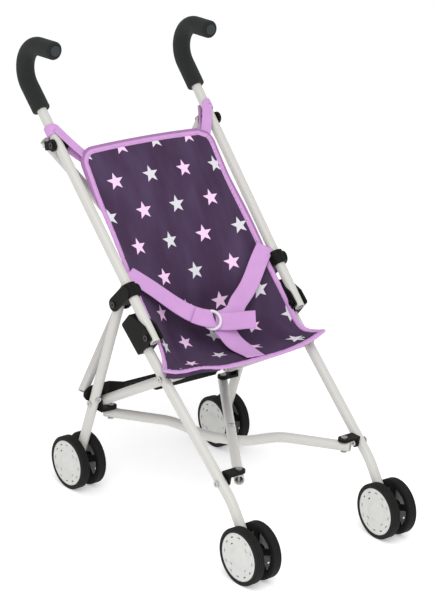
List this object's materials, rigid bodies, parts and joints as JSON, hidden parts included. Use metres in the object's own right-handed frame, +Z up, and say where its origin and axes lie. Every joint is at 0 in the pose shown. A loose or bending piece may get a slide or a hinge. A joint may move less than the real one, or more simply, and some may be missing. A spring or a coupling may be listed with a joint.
{
  "type": "doll stroller",
  "caption": "Folding doll stroller: white tube side frames, crossed braces, fabric sling seat with lap belt, hooked foam handles and twin wheels.",
  "frame": {"origin": "on the floor, at the middle of the standing stroller's box", "axes": "+Z up, -Y to the front, +X to the right of someone facing along +Y from in front"},
  "size_m": [0.271, 0.4884, 0.559],
  "materials": {
    "white_tube": "satin warm-white powder coat on steel tube",
    "black_plastic": "matte moulded",
    "steel": "plain zinc-plated rivets and axles",
    "foam": "matte closed-cell foam",
    "grey_plastic": "matte moulded",
    "tyre": "matte, fine grooves round the tread",
    "rim_black": "matte moulded",
    "white_plastic": "smooth moulded",
    "seat_fabric": "deep purple woven cloth with plain pink and white stars",
    "webbing": "lilac-pink binding and webbing"
  },
  "bodies": {
    "side_frame_left": {"handle_tube_left": "white_tube", "foam_grip_left": "foam", "grip_end_plug_left": "grey_plastic", "pivot_bracket_left": "black_plastic", "handle_rivets_left": "steel", "seat": "seat_fabric", "seat_loops": "webbing", "lap_belt_left": "webbing", "lap_belt_right": "webbing", "crotch_strap": "webbing", "buckle_ring": "white_plastic"},
    "front_leg_left": {"front_leg_left": "white_tube", "hinge_channel_left": "black_plastic", "front_leg_rivets_left": "steel"},
    "rear_leg_left": {"rear_leg_left": "white_tube", "rear_leg_rivets_left": "steel"},
    "back_brace_left": {"back_brace_left": "white_tube", "back_brace_rivets_left": "steel"},
    "floor_brace_left": {"floor_brace_left": "white_tube", "floor_rivets_left": "steel"},
    "side_rail_left": {"side_rail_left": "white_tube"},
    "brace_block_left": {"brace_block_left": "black_plastic"},
    "front_bracket_left": {"front_bracket_left": "black_plastic"},
    "rear_bracket_left": {"rear_bracket_left": "black_plastic"},
    "lock_bar_left": {"lock_bar_left": "black_plastic"},
    "front_wheels_left": {"front_axle_left": "steel", "front_tyres_left": "tyre", "front_rims_left": "rim_black", "front_wheel_caps_left": "white_plastic"},
    "rear_wheels_left": {"rear_axle_left": "steel", "rear_tyres_left": "tyre", "rear_rims_left": "rim_black", "rear_wheel_caps_left": "white_plastic"},
    "side_frame_right": {"handle_tube_right": "white_tube", "foam_grip_right": "foam", "grip_end_plug_right": "grey_plastic", "pivot_bracket_right": "black_plastic", "handle_rivets_right": "steel"},
    "front_leg_right": {"front_leg_right": "white_tube", "hinge_channel_right": "black_plastic", "front_leg_rivets_right": "steel"},
    "rear_leg_right": {"rear_leg_right": "white_tube", "rear_leg_rivets_right": "steel"},
    "back_brace_right": {"back_brace_right": "white_tube", "back_brace_rivets_right": "steel"},
    "floor_brace_right": {"floor_brace_right": "white_tube", "floor_rivets_right": "steel"},
    "side_rail_right": {"side_rail_right": "white_tube"},
    "brace_block_right": {"brace_block_right": "black_plastic"},
    "front_bracket_right": {"front_bracket_right": "black_plastic"},
    "rear_bracket_right": {"rear_bracket_right": "black_plastic"},
    "lock_bar_right": {"lock_bar_right": "black_plastic"},
    "front_wheels_right": {"front_axle_right": "steel", "front_tyres_right": "tyre", "front_rims_right": "rim_black", "front_wheel_caps_right": "white_plastic"},
    "rear_wheels_right": {"rear_axle_right": "steel", "rear_tyres_right": "tyre", "rear_rims_right": "rim_black", "rear_wheel_caps_right": "white_plastic"}
  },
  "joints": [
    {"name": "block_pitch_left", "type": "hinge", "parent": "side_frame_left", "child": "brace_block_left", "pos_m": [-0.117, 0.164, 0.43422], "axis": [1, 0, 0], "range_deg": [-23.86, 0]},
    {"name": "brace_head_left", "type": "hinge", "parent": "brace_block_left", "child": "back_brace_left", "pos_m": [-0.117, 0.18572, 0.42854], "axis": [0, 0.9675, -0.253], "range_deg": [0, 17.15]},
    {"name": "frame_fold", "type": "hinge", "parent": "back_brace_left", "child": "back_brace_right", "pos_m": [0, 0.14733, 0.28177], "axis": [0, -0.9675, 0.253], "range_deg": [0, 33.29], "deforming": ["seat", "seat_loops", "lap_belt_left", "lap_belt_right", "crotch_strap", "buckle_ring"]},
    {"name": "brace_head_right", "type": "hinge", "parent": "back_brace_right", "child": "brace_block_right", "pos_m": [0.117, 0.18572, 0.42854], "axis": [0, 0.9675, -0.253], "range_deg": [0, 17.15]},
    {"name": "block_pitch_right", "type": "hinge", "parent": "brace_block_right", "child": "side_frame_right", "pos_m": [0.117, 0.164, 0.43422], "axis": [1, 0, 0], "range_deg": [0, 23.86]},
    {"name": "front_leg_left", "type": "hinge", "parent": "side_frame_left", "child": "front_leg_left", "pos_m": [-0.11095, -0.02401, 0.24281], "axis": [0.9995, 0.0321, 0], "range_deg": [-172.86, 0]},
    {"name": "rear_leg_left", "type": "hinge", "parent": "side_frame_left", "child": "rear_leg_left", "pos_m": [-0.113, 0.03968, 0.26627], "axis": [0.9995, 0.0321, 0], "range_deg": [-60.5, 0]},
    {"name": "side_rail_left", "type": "hinge", "parent": "rear_bracket_left", "child": "side_rail_left", "pos_m": [-0.11466, 0.0914, 0.12132], "axis": [1, 0, 0], "range_deg": [0, 44.1]},
    {"name": "front_bracket_left", "type": "hinge", "parent": "front_leg_left", "child": "front_bracket_left", "pos_m": [-0.10676, -0.15469, 0.10249], "axis": [1, 0, 0], "range_deg": [0, 47.73]},
    {"name": "floor_brace_left", "type": "hinge", "parent": "front_bracket_left", "child": "floor_brace_left", "pos_m": [-0.08076, -0.15469, 0.10249], "axis": [0, 0, 1], "range_deg": [0, 22.96]},
    {"name": "rear_bracket_right", "type": "hinge", "parent": "floor_brace_left", "child": "rear_bracket_right", "pos_m": [0.08866, 0.0914, 0.10249], "axis": [0, 0, 1], "range_deg": [-22.96, 0]},
    {"name": "lock_bar_left", "type": "hinge", "parent": "rear_leg_left", "child": "lock_bar_left", "pos_m": [-0.11456, 0.08818, 0.13036], "axis": [0, 0.9418, 0.3362], "range_deg": [-54.89, 0]},
    {"name": "front_leg_right", "type": "hinge", "parent": "side_frame_right", "child": "front_leg_right", "pos_m": [0.11095, -0.02401, 0.24281], "axis": [0.9995, -0.0321, 0], "range_deg": [-172.86, 0]},
    {"name": "rear_leg_right", "type": "hinge", "parent": "side_frame_right", "child": "rear_leg_right", "pos_m": [0.113, 0.03968, 0.26627], "axis": [0.9995, -0.0321, 0], "range_deg": [-60.5, 0]},
    {"name": "side_rail_right", "type": "hinge", "parent": "rear_bracket_right", "child": "side_rail_right", "pos_m": [0.11466, 0.0914, 0.12132], "axis": [1, 0, 0], "range_deg": [0, 44.1]},
    {"name": "front_bracket_right", "type": "hinge", "parent": "front_leg_right", "child": "front_bracket_right", "pos_m": [0.10676, -0.15469, 0.10249], "axis": [1, 0, 0], "range_deg": [0, 47.73]},
    {"name": "floor_brace_right", "type": "hinge", "parent": "front_bracket_right", "child": "floor_brace_right", "pos_m": [0.08076, -0.15469, 0.10249], "axis": [0, 0, 1], "range_deg": [-22.96, 0]},
    {"name": "rear_bracket_left", "type": "hinge", "parent": "floor_brace_right", "child": "rear_bracket_left", "pos_m": [-0.08866, 0.0914, 0.10249], "axis": [0, 0, 1], "range_deg": [0, 22.96]},
    {"name": "lock_bar_right", "type": "hinge", "parent": "rear_leg_right", "child": "lock_bar_right", "pos_m": [0.11456, 0.08818, 0.13036], "axis": [0, 0.9418, 0.3362], "range_deg": [0, 54.89]},
    {"name": "front_wheels_left", "type": "hinge", "parent": "front_leg_left", "child": "front_wheels_left", "pos_m": [-0.105, -0.20938, 0.0343], "axis": [0.9995, 0.0321, 0], "continuous": true},
    {"name": "front_wheels_right", "type": "hinge", "parent": "front_leg_right", "child": "front_wheels_right", "pos_m": [0.105, -0.20938, 0.0343], "axis": [0.9995, -0.0321, 0], "continuous": true},
    {"name": "rear_wheels_left", "type": "hinge", "parent": "rear_leg_left", "child": "rear_wheels_left", "pos_m": [-0.11566, 0.12245, 0.0343], "axis": [0.9995, 0.0321, 0], "continuous": true},
    {"name": "rear_wheels_right", "type": "hinge", "parent": "rear_leg_right", "child": "rear_wheels_right", "pos_m": [0.11566, 0.12245, 0.0343], "axis": [0.9995, -0.0321, 0], "continuous": true}
  ],
  "couplings": [
    {"joint": "block_pitch_left", "follows": "frame_fold", "ratio": -0.70171},
    {"joint": "brace_head_left", "follows": "frame_fold", "ratio": 0.50015},
    {"joint": "brace_head_right", "follows": "frame_fold", "ratio": 0.50015},
    {"joint": "block_pitch_right", "follows": "frame_fold", "ratio": 0.70171},
    {"joint": "front_leg_left", "follows": "frame_fold", "ratio": -5.1775},
    {"joint": "rear_leg_left", "follows": "frame_fold", "ratio": -1.8023},
    {"joint": "side_rail_left", "follows": "frame_fold", "ratio": 1.3097},
    {"joint": "front_bracket_left", "follows": "frame_fold", "ratio": 1.4187},
    {"joint": "floor_brace_left", "follows": "frame_fold", "ratio": 0.67468},
    {"joint": "rear_bracket_right", "follows": "frame_fold", "ratio": -0.67468},
    {"joint": "lock_bar_left", "follows": "frame_fold", "ratio": -1.6338},
    {"joint": "front_leg_right", "follows": "frame_fold", "ratio": -5.1775},
    {"joint": "rear_leg_right", "follows": "frame_fold", "ratio": -1.8023},
    {"joint": "side_rail_right", "follows": "frame_fold", "ratio": 1.3097},
    {"joint": "front_bracket_right", "follows": "frame_fold", "ratio": 1.4187},
    {"joint": "floor_brace_right", "follows": "frame_fold", "ratio": -0.67468},
    {"joint": "rear_bracket_left", "follows": "frame_fold", "ratio": 0.67468},
    {"joint": "lock_bar_right", "follows": "frame_fold", "ratio": 1.6338}
  ]
}
